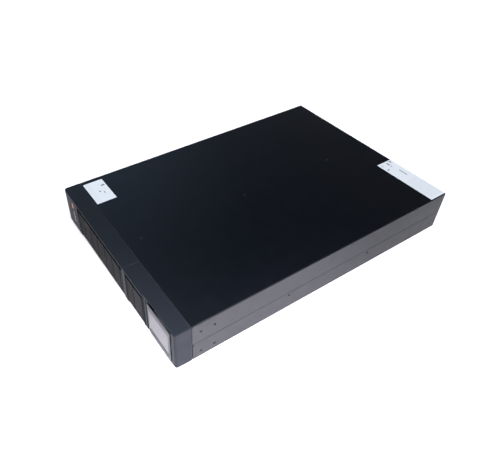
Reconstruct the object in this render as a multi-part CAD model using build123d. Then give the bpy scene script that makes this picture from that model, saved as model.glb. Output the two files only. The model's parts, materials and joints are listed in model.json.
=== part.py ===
"""Rack and tower uninterruptible power supply, 2U high, on a 19-inch body.

Millimetres, +Z up. The front faces -Y and +X is to the right as seen from the front. Every piece is
drawn from a datum plane, y = 0, just behind the bezel's front face, and write() then moves it so that
the origin is the middle of the footprint, on the underside.
"""
import os
from math import cos, radians, sin

from build123d import *

# ---------------------------------------------------------------- driving dimensions
WIDTH = 438.0
HEIGHT = 88.0
BODY_DEPTH = 640.0  # datum plane to the cover's rear edge
BEZEL_DEPTH = 31.0
FACE_Y = -2.6  # the bezel's front face
SHEET = 1.2  # steel sheet of the case
EDGE_R = 2.2  # outer bend radius of the sheet
GAP = 0.3  # between pieces that part or move
BADGE_PROUD = 0.7
REAR_PROUD = 5.0  # the earth stud behind the rear panel

# Bezel
BEZEL_WALL = 2.6
BEZEL_CORNER_R = 6.5  # upright front corners
BEZEL_EDGE_R = 1.5  # top and bottom edges
TOE_R = 9.0  # bottom front edge
TOE_RISE = 3.5
TOE_RUN = 22.0
SPLIT_X = 49.0  # between the battery bezel and the display bezel
SPLIT_GAP = 0.6
PEG_R = 1.6
PEG_TIP_Y = 38.0
BATTERY_PEGS = [(-210.5, 20), (-210.5, 68), (46.95, 20), (46.95, 68)]
DISPLAY_PEGS = [(51.4, 20), (51.4, 68), (211.0, 20), (211.0, 68)]

# Shallow landing that the display lies on, so that its face is flush with the bezel's
LANDING_X = 119.3  # from here to the right end
LANDING_Y = -0.8
SHADOW_LINES = ((127.2, 133.0), (206.8, 208.8))  # grooves beside the display
SHADOW_DEPTH = 1.4

# Finger notch above the display: how far back it cuts the top's front edge, as (x, y)
NOTCH = ((132.0, LANDING_Y), (143.0, 0.3), (165.0, 0.6), (190.0, 0.3), (216.0, LANDING_Y))
NOTCH_X = (134.0, 208.0)  # the opening below that edge, partly behind the display
NOTCH_Z = 70.0

# Grilles: each opening's X range, and the middles of its columns of holes
LEFT_OPENING = (-156.0, 44.5)
LEFT_COLUMNS = [31.3 - 31.8 * i for i in range(6)]
RIGHT_OPENING = (54.3, 119.2)
RIGHT_COLUMNS = [114.6 - 33.5 * i for i in range(2)]
GRILLE_Z = (4.0, 84.4)
GRILLE_FACE_Y = -1.4
GRILLE_SHEET = 2.4
GRILLE_LIP = 0.8
BAND_Z = 72.5  # above this the grille is open
HOLE = (5.0, 3.8)
HOLE_PITCH = 7.36
HOLE_ROWS = 8
HOLE_Z = 17.8

# Case
COVER_Y = 31.9
BASE_Y = 33.0
SEAM_Z = 41.0  # top cover's side flange above, chassis base below
SEAM_GAP = 0.8
LIP_Z = (34.0, 58.0)  # lip of the base that the cover's flange hangs over
CORNER_NOTCH = 2.5  # square notch at the front upper corner of the base's side walls
SUBPANEL_Y = (32.2, 33.4)
REAR_Y = BODY_DEPTH - SHEET
EAR_Y = (48.8, 74.8)
EAR_Z = (15.2, 66.0)
EAR_HOLE_R = 2.1
COVER_SCREW_Y = (61.0, 296.0, 522.0)
COVER_SCREW = (1.5, 2.8)  # shank and head radius

# Battery bay and tray
MOUTH_X = (-199.0, -2.0)
MOUTH_Z = (1.6, 73.0)
BAY_WALL_X = 2.0
BAY_END_Y = 528.0
TRAY_X = (-198.0, -5.0)
TRAY_Y = (31.8, 503.0)
TRAY_Z = 2.6
TRAY_SIDE = 22.0
BLOCK = (94.0, 151.0, 65.0)  # one 12 V block lying on its side
THUMBSCREW_X = (-170.0, -32.0)
THUMBSCREW_Z = 79.0
PLUG_X = -101.0

# Display module
DISPLAY_X = 171.8
DISPLAY_Z = 47.0
PLATE = 72.6
DRUM_R = 33.4
DRUM_BACK = 24.6
CARRIER_R = 35.4
CARRIER_BACK = 22.0
WINDOW = (63.0, 47.0)
WINDOW_MIDDLE = (170.4, 48.1)
WINDOW_BACK = -1.9
LCD = (52.0, 31.0)
KEY = (19.6, 2.4)
KEY_PITCH = 21.2
KEY_Z = 22.2
KEY_TRAVEL = 0.4
KEY_REST = -2.0  # the cap's back
KEY_NAMES = ("key_left", "key_middle", "key_right")

# Rear panel
FAN_X = (78.0, 165.0)
FAN_Z = 44.0
FAN_SIZE = 80.0
FAN_DEPTH = 25.0
FAN_HOLE = 35.75  # half of the 71.5 mm hole spacing
GUARD_WIRE = 1.8
ROTOR_R = 37.3
OUTLET_X = (-95.0, -65.0, -35.0)
OUTLET_ROWS = {"outlet_bank_upper": 62.0, "outlet_bank_lower": 26.0}
OUTLET_FACE = (90.0, 26.0)
INLET = (4.0, 64.0)
INLET_FACE = (36.0, 30.0)
LINK_PORT = (-1.0, 22.0)
BREAKER = (27.0, 22.0)
EARTH_STUD = (30.0, 44.0)
OPTION_SLOT = ((-212.0, -114.0), (46.0, 82.0))
PORT_FLOOR = 7.6  # top of the port board
USB_X = -204.0
SERIAL_X = -178.0
JACKS_X = -142.5
EPO_X = -119.0

# Power electronics
BOARD_X = (9.0, 213.0)
BOARD_Y = (70.0, 590.0)
BOARD_Z = 8.0
BOARD_SHEET = 1.6
HEATSINK_X = (26.0, 128.0)
HEATSINK = (62.0, 230.0, 58.0)
HEATSINK_Y = 160.0

HALF = WIDTH / 2
MIDDLE_Y = (BODY_DEPTH + REAR_PROUD + FACE_Y - BADGE_PROUD) / 2


# ---------------------------------------------------------------- helpers
def block(x, y, z):
    """A box from its (low, high) pairs."""
    size = (x[1] - x[0], y[1] - y[0], z[1] - z[0])
    return Pos(x[0], y[0], z[0]) * Box(*size, align=(Align.MIN,) * 3)


def around(centre, width):
    """The (low, high) pair of a width about a centre."""
    return centre - width / 2, centre + width / 2


def rod_y(x, z, y, r):
    """A round bar along Y between the two y values."""
    return Pos(x, (y[0] + y[1]) / 2, z) * Rot(90, 0, 0) * Cylinder(r, y[1] - y[0])


def rod_x(y, z, x, r):
    """A round bar along X between the two x values."""
    return Pos((x[0] + x[1]) / 2, y, z) * Rot(0, 90, 0) * Cylinder(r, x[1] - x[0])


def rod_z(x, y, z, r):
    """A round bar along Z between the two z values."""
    return Pos(x, y, (z[0] + z[1]) / 2) * Cylinder(r, z[1] - z[0])


def ring_y(x, z, y, outer, inner):
    """A round sleeve along Y."""
    return rod_y(x, z, y, outer) - rod_y(x, z, y, inner)


def group(shapes):
    """Separate solids that share one node."""
    return Compound(children=[solid for shape in shapes for solid in shape.solids()])


def rounded_block(x, y, z, radius, axis=Axis.Y):
    """A box whose edges along one axis are rounded."""
    solid = block(x, y, z)
    return fillet(solid.edges().filter_by(axis), radius)


def write(name, shape):
    """Moves a piece into the shared frame and writes its file."""
    export_step(Pos(0, -MIDDLE_Y, 0) * shape, f"parts/{name}.step")


# ---------------------------------------------------------------- bezels
def toe_profile(inset, back):
    """The bezel's side profile, with its raised and rounded bottom front edge."""
    face = FACE_Y + inset
    toe = (face, TOE_RISE + inset)
    top = HEIGHT - inset
    side = Polygon(toe, (face, top), (back, top), (back, inset), (TOE_RUN, inset), align=None)
    side = fillet(side.vertices().sort_by_distance((*toe, 0))[0], TOE_R - inset)
    return extrude(Plane.YZ * side, HALF, both=True)


def bezel_form(inset, back):
    """The bezel's outer form (inset 0) or the space inside it, reaching back to y = back."""
    face = FACE_Y + inset
    plan = Pos(0, (face + back) / 2) * Rectangle(WIDTH - 2 * inset, back - face)
    plan = fillet(plan.vertices().group_by(Axis.Y)[0], BEZEL_CORNER_R - inset)
    form = extrude(plan, HEIGHT)
    if inset == 0:
        flat = form.edges().group_by(Axis.Z)[-1] + form.edges().group_by(Axis.Z)[0]
        form = fillet([edge for edge in flat if edge.center().Y < back - 1], BEZEL_EDGE_R)
    return form & toe_profile(inset, back)


def bezel_half(x, web_x, pegs):
    """One half of the hollow bezel, with the web along its split and its mounting pegs."""
    outer = bezel_form(0, BEZEL_DEPTH)
    slab = block(x, (FACE_Y - 1, BEZEL_DEPTH + 1), (-1, HEIGHT + 1))
    half = (outer - bezel_form(BEZEL_WALL, BEZEL_DEPTH + 10)) & slab
    half += outer & block(web_x, (FACE_Y, BEZEL_DEPTH), (0, HEIGHT))
    for peg_x, peg_z in pegs:
        half += rod_y(peg_x, peg_z, (FACE_Y + BEZEL_WALL - 0.5, PEG_TIP_Y), PEG_R)
    return half


def grille_opening(x):
    """The cut through the bezel's front wall where a grille shows."""
    return block(x, (FACE_Y - 1, TOE_R), GRILLE_Z)


def battery_bezel():
    """The left half of the bezel, which comes off to reach the battery tray."""
    edge = SPLIT_X - SPLIT_GAP / 2
    half = bezel_half((-HALF, edge), (edge - BEZEL_WALL, edge), BATTERY_PEGS)
    return half - grille_opening(LEFT_OPENING)


def finger_notch():
    """The notch above the display: the top's edge cut back in a curve, and the wall open below it."""
    front = FACE_Y - 1
    start, end = NOTCH[0], NOTCH[-1]
    outline = [Spline(*NOTCH), Polyline(end, (end[0], front), (start[0], front), start)]
    curve = Pos(0, 0, NOTCH_Z) * extrude(make_face(outline), HEIGHT)
    back = LANDING_Y + BEZEL_WALL + 0.2
    edge = (front, HEIGHT - 0.9)
    underside = (BEZEL_DEPTH / 4, HEIGHT - BEZEL_WALL)
    opening = Polygon((front, NOTCH_Z), (back, NOTCH_Z), (back, 80), underside, edge, align=None)
    middle = sum(NOTCH_X) / 2
    below = extrude(Plane.YZ.offset(middle) * opening, (NOTCH_X[1] - NOTCH_X[0]) / 2, both=True)
    return (curve & block((start[0], end[0]), (front, 9), (HEIGHT - BEZEL_WALL, HEIGHT + 1))) + below


def display_bezel():
    """The right half of the bezel, which carries the display."""
    edge = SPLIT_X + SPLIT_GAP / 2
    half = bezel_half((edge, HALF), (edge, edge + BEZEL_WALL), DISPLAY_PEGS)
    backing_x = (RIGHT_OPENING[1] + GRILLE_LIP + 0.2, HALF)
    backing = block(backing_x, (FACE_Y, LANDING_Y + BEZEL_WALL), (0, HEIGHT))
    half += backing & bezel_form(0, BEZEL_DEPTH)
    half -= grille_opening(RIGHT_OPENING)
    half -= block((LANDING_X, HALF + 1), (FACE_Y - 1, LANDING_Y), (-1, HEIGHT + 1))
    half -= finger_notch()
    half -= rod_y(DISPLAY_X, DISPLAY_Z, (FACE_Y - 1, TOE_R + 1), CARRIER_R + GAP)
    for x in SHADOW_LINES:
        half -= block(x, (FACE_Y, LANDING_Y + SHADOW_DEPTH), (0, HEIGHT - BEZEL_WALL))
    return half


def grille(opening, columns):
    """An air grille: a flat sheet with columns of square holes and an open band along its top."""
    inside = FACE_Y + BEZEL_WALL
    back = inside + GRILLE_SHEET
    wide = (opening[0] - GRILLE_LIP, opening[1] + GRILLE_LIP)
    sheet = block(wide, (inside, back), (0, HEIGHT)) & bezel_form(BEZEL_WALL, BEZEL_DEPTH)
    clear = (opening[0] + 0.1, opening[1] - 0.1)
    showing = block(clear, (GRILLE_FACE_Y, back), (GRILLE_Z[0] + 0.1, GRILLE_Z[1] - 0.1))
    sheet += showing & toe_profile(GRILLE_FACE_Y - FACE_Y, BEZEL_DEPTH)
    rows = [HOLE_Z + HOLE_PITCH * row for row in range(HOLE_ROWS)]
    through = (FACE_Y, back + 1)
    holes = [block(around(x, HOLE[0]), through, around(z, HOLE[1])) for x in columns for z in rows]
    band = block((opening[0] + 1.2, opening[1] - 1.2), through, (BAND_Z, GRILLE_Z[1] - 0.6))
    return sheet - [*holes, band]


def front_badge():
    """A plain upright badge without any lettering: a long plate, and a short one above it."""
    y = (FACE_Y - BADGE_PROUD, FACE_Y)
    return group([rounded_block(around(-178.0, 9.0), y, z, 1.2) for z in ((28.0, 58.0), (61.0, 78.0))])


def bezel_receptacles():
    """The bushes in the subpanel that hold the bezels' pegs. The ones beside the split are joined."""
    places = BATTERY_PEGS + DISPLAY_PEGS
    bushes = [rod_y(x, z, (SUBPANEL_Y[0], 36.0), 4.0) for x, z in places]
    pegs = [rod_y(x, z, (30, 40), PEG_R + 0.35) for x, z in places]
    return group([bushes[0] + bushes[1:] - pegs])


# ---------------------------------------------------------------- case
def ear_holes(z):
    """The rack ear's screw holes at one height, through both sides."""
    return [rod_x(y, z, (-HALF - 1, HALF + 1), EAR_HOLE_R) for y in EAR_Y]


def rack_ear_nuts():
    """Clinch nuts behind the rack ear's screw holes."""
    nuts = []
    for side in (-1, 1):
        for y in EAR_Y:
            for z in EAR_Z:
                x = sorted((side * (HALF - SHEET), side * (HALF - SHEET - 3.2)))
                nuts.append(rod_x(y, z, x, 4.0) - rod_x(y, z, (-HALF, HALF), EAR_HOLE_R))
    return group(nuts)


def chassis_base():
    """The lower tray of the case: floor, side walls, the lip under the cover and the tray guide."""
    floor = block((-HALF, HALF), (BASE_Y, BODY_DEPTH), (0, SEAM_Z))
    floor = fillet(floor.edges().filter_by(Axis.Y).group_by(Axis.Z)[0], EDGE_R)
    hollow = block((-HALF + SHEET, HALF - SHEET), (0, BODY_DEPTH + 1), (SHEET, HEIGHT))
    hollow = fillet(hollow.edges().filter_by(Axis.Y).group_by(Axis.Z)[0], EDGE_R - SHEET)
    base = floor - hollow
    for side in (-1, 1):
        lip_x = sorted((side * (HALF - SHEET), side * (HALF - 2 * SHEET)))
        base += block(lip_x, (90, REAR_Y - 2), LIP_Z)
        wall_x = sorted((side * (HALF - 3 * SHEET), side * (HALF + 1)))
        base -= block(wall_x, (BASE_Y - 1, BASE_Y + CORNER_NOTCH), (SEAM_Z - CORNER_NOTCH, SEAM_Z + 1))
        for slot_y in (234.0, 430.0):
            base -= block(wall_x, around(slot_y, 5.0), (32.4, 35.0))
    guide_x = MOUTH_X[0] - 2.4
    base += block((guide_x, guide_x + SHEET), (50, BAY_END_Y), (SHEET - 0.2, 20.0))
    return base - ear_holes(EAR_Z[0])


def top_cover():
    """The upper shell of the case, with side flanges that come down to the seam."""
    cover = block((-HALF, HALF), (COVER_Y, BODY_DEPTH), (SEAM_Z + SEAM_GAP, HEIGHT))
    cover = fillet(cover.edges().filter_by(Axis.Y).group_by(Axis.Z)[-1], EDGE_R)
    hollow = block((-HALF + SHEET, HALF - SHEET), (0, BODY_DEPTH + 1), (0, HEIGHT - SHEET))
    hollow = fillet(hollow.edges().filter_by(Axis.Y).group_by(Axis.Z)[-1], EDGE_R - SHEET)
    cover -= hollow
    shank_r, head_r = COVER_SCREW
    for y in COVER_SCREW_Y:
        cover -= rod_z(0, y, (HEIGHT - 3, HEIGHT + 1), shank_r + 0.2)
        cover -= Pos(0, y, HEIGHT - SHEET / 2) * Cone(shank_r + 0.2, head_r + 0.3, SHEET)
    return cover - ear_holes(EAR_Z[1])


def cover_screws():
    """Countersunk screws down the middle of the cover, into the bay wall's flange."""
    screws = []
    shank_r, head_r = COVER_SCREW
    for y in COVER_SCREW_Y:
        screw = rod_z(0, y, (HEIGHT - 7, HEIGHT - 1.3), shank_r)
        screw += Pos(0, y, HEIGHT - 0.75) * Cone(shank_r, head_r, 1.2)
        screws.append(screw - rod_z(0, y, (HEIGHT - 0.9, HEIGHT), 1.1))
    return group(screws)


def front_subpanel():
    """The steel plate behind the bezels, with the mouth of the battery bay and the air slots."""
    plate = block((-HALF + 1.5, HALF - 1.5), SUBPANEL_Y, (SHEET + 0.1, HEIGHT - SHEET - 0.1))
    corners = plate.edges().filter_by(Axis.Y)
    plate = fillet(corners, 2.0)
    plate -= block(MOUTH_X, (30, 36), (MOUTH_Z[0], MOUTH_Z[1]))
    plate -= [block(around(60 + 8 * i, 4.0), (30, 36), (14, 74)) for i in range(7)]
    plate -= [block(around(12 + 8 * i, 4.0), (30, 36), (14, 74)) for i in range(4)]
    plate -= rod_y(DISPLAY_X, DISPLAY_Z, (30, 36), 16)
    plate -= [rod_y(x, z, (30, 36), 4.0) for x, z in BATTERY_PEGS + DISPLAY_PEGS]
    return plate - [rod_y(x, THUMBSCREW_Z, (30, 36), 2.8) for x in THUMBSCREW_X]


def battery_bay_wall():
    """The upright sheet between the battery bay and the electronics, with flanges top and bottom."""
    x = (BAY_WALL_X, BAY_WALL_X + SHEET)
    wall = block(x, (SUBPANEL_Y[1] + 0.2, BAY_END_Y), (SHEET, HEIGHT - SHEET))
    top = (HEIGHT - 2 * SHEET, HEIGHT - SHEET)
    wall += block((-7.0, x[1]), (SUBPANEL_Y[1] + 0.2, BAY_END_Y), top)
    wall += block((x[0], x[1] + 9), (60, BAY_END_Y), (SHEET, 2 * SHEET))
    wall -= [block((0, 6), around(100 + 40 * i, 24), (30, 36)) for i in range(10)]
    return wall - [rod_z(0, y, (HEIGHT - 5, HEIGHT), 1.9) for y in COVER_SCREW_Y]


def battery_socket_bracket():
    """The sheet across the end of the battery bay, which carries the battery socket."""
    x = (MOUTH_X[0] - 1.0, BAY_WALL_X - 0.2)
    plate = block(x, (BAY_END_Y - SHEET, BAY_END_Y), (SHEET, 70))
    plate += block(x, (BAY_END_Y, BAY_END_Y + 12), (SHEET, 2 * SHEET))
    plate -= block(around(PLUG_X, 30), (BAY_END_Y - 3, BAY_END_Y + 1), (26, 44))
    return plate - [rod_y(x0, 58, (BAY_END_Y - 3, BAY_END_Y + 1), 5) for x0 in (-160, -130, -70, -40)]


def warning_label():
    """A blank label on the cover's front left corner."""
    return rounded_block((-207, -134), (34.5, 76.5), (HEIGHT, HEIGHT + 0.15), 1.0, Axis.Z)


def rating_label():
    """A blank label on the cover's rear right corner."""
    y = (598.5, BODY_DEPTH - 0.5)
    return rounded_block((75.5, HALF - EDGE_R), y, (HEIGHT, HEIGHT + 0.15), 1.0, Axis.Z)


# ---------------------------------------------------------------- battery tray
def battery_tray():
    """The sheet tray that carries the batteries, with its front plate."""
    floor = (TRAY_Z, TRAY_Z + SHEET)
    tray = block(TRAY_X, TRAY_Y, floor)
    tray += block((TRAY_X[0], TRAY_X[0] + SHEET), TRAY_Y, (TRAY_Z, TRAY_SIDE))
    tray += block((TRAY_X[1] - SHEET, TRAY_X[1]), TRAY_Y, (TRAY_Z, TRAY_SIDE))
    tray += block(TRAY_X, (TRAY_Y[1] - SHEET, TRAY_Y[1]), (TRAY_Z, 50))
    front = block((-203.5, 1.5), (TRAY_Y[0] - SHEET, TRAY_Y[0]), (TRAY_Z + 1.0, 84.2))
    tray += fillet(front.edges().filter_by(Axis.Y), 3.0)
    tray += block(TRAY_X, (TRAY_Y[0] - SHEET, TRAY_Y[0]), floor)
    tray -= [rod_y(x, THUMBSCREW_Z, (25, 36), 2.5) for x in THUMBSCREW_X]
    return tray - [rod_y(PLUG_X + dx, 35, (500, 505), 4) for dx in (-8, 8)]


def battery_blocks():
    """Six 12 V blocks lying on their sides, two across and three deep."""
    pitch_x = BLOCK[0] + 1.0
    pitch_y = BLOCK[1] + 1.2
    middle_x = (TRAY_X[0] + TRAY_X[1]) / 2
    blocks = []
    for column in (-0.5, 0.5):
        for row in range(3):
            x = around(middle_x + column * pitch_x, BLOCK[0])
            y = (40 + row * pitch_y, 40 + row * pitch_y + BLOCK[1])
            z = (TRAY_Z + SHEET, TRAY_Z + SHEET + BLOCK[2])
            case = fillet(block(x, y, z).edges(), 1.5)
            lid_groove = block((x[0] - 1, x[1] + 1), (y[0] - 1, y[1] + 1), z)
            outside = "right" if column > 0 else "left"
            seam = x[1] - 7 if outside == "right" else x[0] + 7
            ring = block(around(seam, 0.8), (y[0] - 1, y[1] + 1), z) & lid_groove
            inner = block(around(seam, 0.8), (y[0] + 0.5, y[1] - 0.5), (z[0] + 0.5, z[1] - 0.5))
            blocks.append(case - (ring - inner))
    return group(blocks)


def battery_links():
    """The bars that join the blocks in series, along the top of the pack."""
    top = TRAY_Z + SHEET + BLOCK[2]
    middle_x = (TRAY_X[0] + TRAY_X[1]) / 2
    links = []
    for row in range(3):
        y = 40 + row * (BLOCK[1] + 1.2) + 60
        links.append(block(around(middle_x, 30), around(y, 9), (top, top + 1.5)))
    for row in range(2):
        y = 40 + (row + 1) * (BLOCK[1] + 1.2) - 0.6
        links.append(block(around(middle_x - 60 + 120 * row, 9), around(y, 34), (top, top + 1.5)))
    return group(links)


def battery_plug():
    """The tray's half of the blind-mating battery connector."""
    plug = block(around(PLUG_X, 30), (TRAY_Y[1], TRAY_Y[1] + 16), around(35, 14))
    plug = chamfer(plug.faces().sort_by(Axis.Y)[-1].edges(), 1.0)
    return plug - [rod_y(PLUG_X + dx, 35, (TRAY_Y[1] + 2, TRAY_Y[1] + 20), 4) for dx in (-8, 8)]


def battery_socket():
    """The case's half of the battery connector, which the plug slides into."""
    shell = block(around(PLUG_X, 40), (BAY_END_Y - 22, BAY_END_Y - SHEET), around(35, 24))
    cavity = block(around(PLUG_X, 31), (BAY_END_Y - 23, BAY_END_Y - 6), around(35, 15))
    tail = block(around(PLUG_X, 29), (BAY_END_Y - SHEET, BAY_END_Y + 10), around(35, 17))
    contacts = [rod_y(PLUG_X + dx, 35, (BAY_END_Y - 18, BAY_END_Y - 5), 3.2) for dx in (-8, 8)]
    return shell - cavity + tail + contacts


def tray_handle():
    """The wire bail on the tray's front plate."""
    front = TRAY_Y[0] - SHEET
    half_span = 32.0
    middle = (TRAY_X[0] + TRAY_X[1]) / 2
    bar_y = front - 17
    corner = 5.0
    path = FilletPolyline(
        (middle - half_span, front, 40),
        (middle - half_span, bar_y, 40),
        (middle + half_span, bar_y, 40),
        (middle + half_span, front, 40),
        radius=corner,
    )
    bail = sweep(Plane(origin=path @ 0, z_dir=path % 0) * Circle(2.5), path)
    feet = [rod_y(middle + side * half_span, 40, (front - 2, front), 5) for side in (-1, 1)]
    return bail + feet


def thumbscrew(x):
    """A captive thumbscrew with a knurled head and a screwdriver slot."""
    head = rod_y(x, THUMBSCREW_Z, (20.0, 30.2), 5.5)
    head = chamfer(head.edges().filter_by(GeomType.CIRCLE), 0.6)
    flutes = []
    for step in range(16):
        angle = radians(step * 22.5)
        flutes.append(rod_y(x + 5.7 * cos(angle), THUMBSCREW_Z + 5.7 * sin(angle), (21, 29.2), 0.5))
    head -= flutes
    head -= block(around(x, 12), (19, 21.4), around(THUMBSCREW_Z, 1.4))
    return head + rod_y(x, THUMBSCREW_Z, (30.0, 42.0), 2.2)


# ---------------------------------------------------------------- display
def display_carrier():
    """The sleeve that slides in the bezel, with two stop lugs. The display turns inside it."""
    sleeve = ring_y(DISPLAY_X, DISPLAY_Z, (LANDING_Y + 0.1, CARRIER_BACK), CARRIER_R, DRUM_R + 0.4)
    lug_y = (CARRIER_BACK - 3, CARRIER_BACK)
    lugs = ring_y(DISPLAY_X, DISPLAY_Z, lug_y, CARRIER_R + 4, CARRIER_R - 1)
    return sleeve + (lugs & block(around(DISPLAY_X, 120), lug_y, around(DISPLAY_Z, 14)))


def key_x(index):
    """The middle of one key."""
    return DISPLAY_X + (index - 1) * KEY_PITCH


def display_housing():
    """The display's square face plate and the round drum behind it."""
    back = LANDING_Y - GAP
    front = FACE_Y - 1
    plate = rounded_block(around(DISPLAY_X, PLATE), (FACE_Y, back), around(DISPLAY_Z, PLATE), 2.5)
    plate = chamfer(plate.faces().sort_by(Axis.Y)[0].edges(), 0.4)
    plate += rod_y(DISPLAY_X, DISPLAY_Z, (back, DRUM_BACK), DRUM_R)
    plate += rod_y(DISPLAY_X, DISPLAY_Z, (CARRIER_BACK + GAP, DRUM_BACK), DRUM_R + 1.4)
    plate -= rod_y(DISPLAY_X, DISPLAY_Z, (6.0, DRUM_BACK + 1), DRUM_R - 2.2)
    x, z = WINDOW_MIDDLE
    plate -= block(around(x, WINDOW[0]), (front, WINDOW_BACK), around(z, WINDOW[1]))
    plate -= block(around(x, LCD[0]), (front, 7), around(z, LCD[1]))
    floor = KEY_REST + KEY_TRAVEL + 0.1
    for index in range(len(KEY_NAMES)):
        plate -= block(around(key_x(index), KEY[0] + 0.8), (front, floor), around(KEY_Z, KEY[1] + 0.8))
    return plate


def display_window():
    """The clear window in the display's face."""
    x, z = WINDOW_MIDDLE
    return block(around(x, WINDOW[0] - 0.1), (FACE_Y + 0.1, WINDOW_BACK), around(z, WINDOW[1] - 0.1))


def lcd_panel():
    """The liquid crystal panel and its backlight, behind the window."""
    x, z = WINDOW_MIDDLE
    panel = block(around(x, LCD[0] - 1), (WINDOW_BACK + 0.1, 4.5), around(z, LCD[1] - 1))
    return panel - block(around(x, LCD[0] - 9), (3.5, 5), around(z, LCD[1] - 9))


def display_board():
    """The display's circuit board with its lead socket."""
    board = rod_y(DISPLAY_X, DISPLAY_Z, (8.0, 9.6), DRUM_R - 2.6)
    board -= block(around(DISPLAY_X, 80), (7, 10), (0, DISPLAY_Z - 26))
    return board + block(around(DISPLAY_X, 14), (9.6, 15.0), around(DISPLAY_Z, 7))


def key(index):
    """One slim key cap, which stands on the membrane switch in its pocket under the window."""
    cap = block(around(key_x(index), KEY[0]), (FACE_Y, KEY_REST), around(KEY_Z, KEY[1]))
    return chamfer(cap.faces().sort_by(Axis.Y)[0].edges(), 0.2)


# ---------------------------------------------------------------- rear panel
def rear_panel():
    """The rear sheet with the cut-outs for the fans, sockets and ports."""
    z = (SHEET + 0.1, HEIGHT - SHEET - 0.1)
    panel = block((-HALF + SHEET + 0.1, HALF - SHEET - 0.1), (REAR_Y, BODY_DEPTH), z)
    panel = fillet(panel.edges().filter_by(Axis.Y), EDGE_R - SHEET)
    through = (REAR_Y - 1, BODY_DEPTH + 1)
    for x in FAN_X:
        panel -= rod_y(x, FAN_Z, through, 38.5)
        panel -= [rod_y(*place, through, 2.2) for place in fan_screw_places(x)]
    for z_row in OUTLET_ROWS.values():
        panel -= block(around(OUTLET_X[1], OUTLET_FACE[0] - 4), through, around(z_row, OUTLET_FACE[1] - 4))
    panel -= block(around(INLET[0], INLET_FACE[0] - 4), through, around(INLET[1], INLET_FACE[1] - 4))
    panel -= block(around(LINK_PORT[0], 34), through, around(LINK_PORT[1], 16))
    panel -= rod_y(*BREAKER, through, 5.5)
    panel -= rod_y(*EARTH_STUD, through, 2.0)
    panel -= block(around(USB_X, 12.4), through, (PORT_FLOOR, PORT_FLOOR + 11.4))
    panel -= block(around(SERIAL_X, 20.4), through, (PORT_FLOOR - 0.2, PORT_FLOOR + 11.2))
    panel -= block(around(JACKS_X, 30.4), through, (PORT_FLOOR, PORT_FLOOR + 13.4))
    panel -= block(around(EPO_X, 10.4), through, (PORT_FLOOR, PORT_FLOOR + 8.4))
    slot_x, slot_z = OPTION_SLOT
    panel -= block((slot_x[0] + 9, slot_x[1] - 9), through, (slot_z[0] + 4, slot_z[1] - 4))
    panel -= [rod_y(x, sum(slot_z) / 2, through, 1.6) for x in (slot_x[0] + 4.5, slot_x[1] - 4.5)]
    return panel - [rod_y(x, z, through, 1.6) for x, z in panel_screw_places()]


def fan_screw_places(x):
    """Where one fan's four screws sit, as (x, z)."""
    return [(x + a, FAN_Z + b) for a in (-FAN_HOLE, FAN_HOLE) for b in (-FAN_HOLE, FAN_HOLE)]


def panel_screw_places():
    """Where the rear panel's screws sit, as (x, z)."""
    return [(-110.0, 82.0), (-110.0, 6.0), (33.0, 82.0), (33.0, 6.0), (121.5, 82.0), (121.5, 6.0)]


def pan_head(x, z, y, head_r, shank_r, shank):
    """A pan head screw that bears on the plane y and points at -Y."""
    head = rod_y(x, z, (y, y + 2.0), head_r)
    head = fillet(head.edges().group_by(Axis.Y)[-1], 0.9)
    head -= block(around(x, 0.8), (y + 1.0, y + 3), around(z, head_r * 1.1))
    head -= block(around(x, head_r * 1.1), (y + 1.0, y + 3), around(z, 0.8))
    return head + rod_y(x, z, (y - shank, y), shank_r)


def rear_screws():
    """The screws of the panel, the fans and the blanking plate, and the earth stud with its nut."""
    screws = [pan_head(x, z, BODY_DEPTH, 2.9, 1.5, 6.0) for x, z in panel_screw_places()]
    for fan_x in FAN_X:
        screws += [pan_head(x, z, BODY_DEPTH + GUARD_WIRE, 2.9, 1.5, 8.0) for x, z in fan_screw_places(fan_x)]
    slot_x, slot_z = OPTION_SLOT
    for x in (slot_x[0] + 4.5, slot_x[1] - 4.5):
        screws.append(pan_head(x, sum(slot_z) / 2, BODY_DEPTH + 1.0, 3.2, 1.5, 6.0))
    stud = rod_y(*EARTH_STUD, (REAR_Y - 8, BODY_DEPTH + REAR_PROUD), 1.9)
    nut = Plane.XZ * Pos(*EARTH_STUD) * RegularPolygon(4.2, 6)
    stud += Pos(0, BODY_DEPTH + 3.0, 0) * extrude(nut, 3.0)
    return group([*screws, stud])


def fan_frame(x):
    """A fan's square frame with its duct, and the motor mount on four struts."""
    y = (REAR_Y - FAN_DEPTH, REAR_Y)
    frame = rounded_block(around(x, FAN_SIZE), y, around(FAN_Z, FAN_SIZE), 4.0)
    frame -= rod_y(x, FAN_Z, (y[0] - 1, y[1] + 1), ROTOR_R + 1.2)
    for place in fan_screw_places(x):
        frame -= rod_y(*place, (y[0] - 1, y[1] + 1), 1.9)
        waist = rod_y(*place, (y[0] + 4, y[1] - 4), 6.0)
        frame -= waist - rod_y(x, FAN_Z, (y[0], y[1]), 41.5)
    mount_y = (y[1] - 3.0, y[1])
    for turn in (20, 110, 200, 290):
        strut = Pos(25, 0, 0) * Box(30, 3.0, 3.2)
        frame += Pos(x, sum(mount_y) / 2, FAN_Z) * Rot(0, turn, 0) * strut
    return frame + rod_y(x, FAN_Z, mount_y, 15.0)


def fan_rotor(x):
    """A fan's hub and its seven pitched blades."""
    front = REAR_Y - FAN_DEPTH + 1.5
    back = REAR_Y - 3.8
    hub = rod_y(x, FAN_Z, (front, back), 15.0)
    hub = fillet(hub.edges().group_by(Axis.Y)[0], 2.0)
    middle = (front + back) / 2
    blades = []
    for step in range(7):
        blade = Pos(26, 0, 0) * Rot(38, 0, 0) * Box(27, 1.3, 22)
        blades.append(Pos(x, middle, FAN_Z) * Rot(0, step * 360 / 7, 0) * blade)
    swept = ring_y(x, FAN_Z, (front + 1, back - 1), ROTOR_R, 14.0)
    return hub + [blade & swept for blade in blades]


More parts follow.
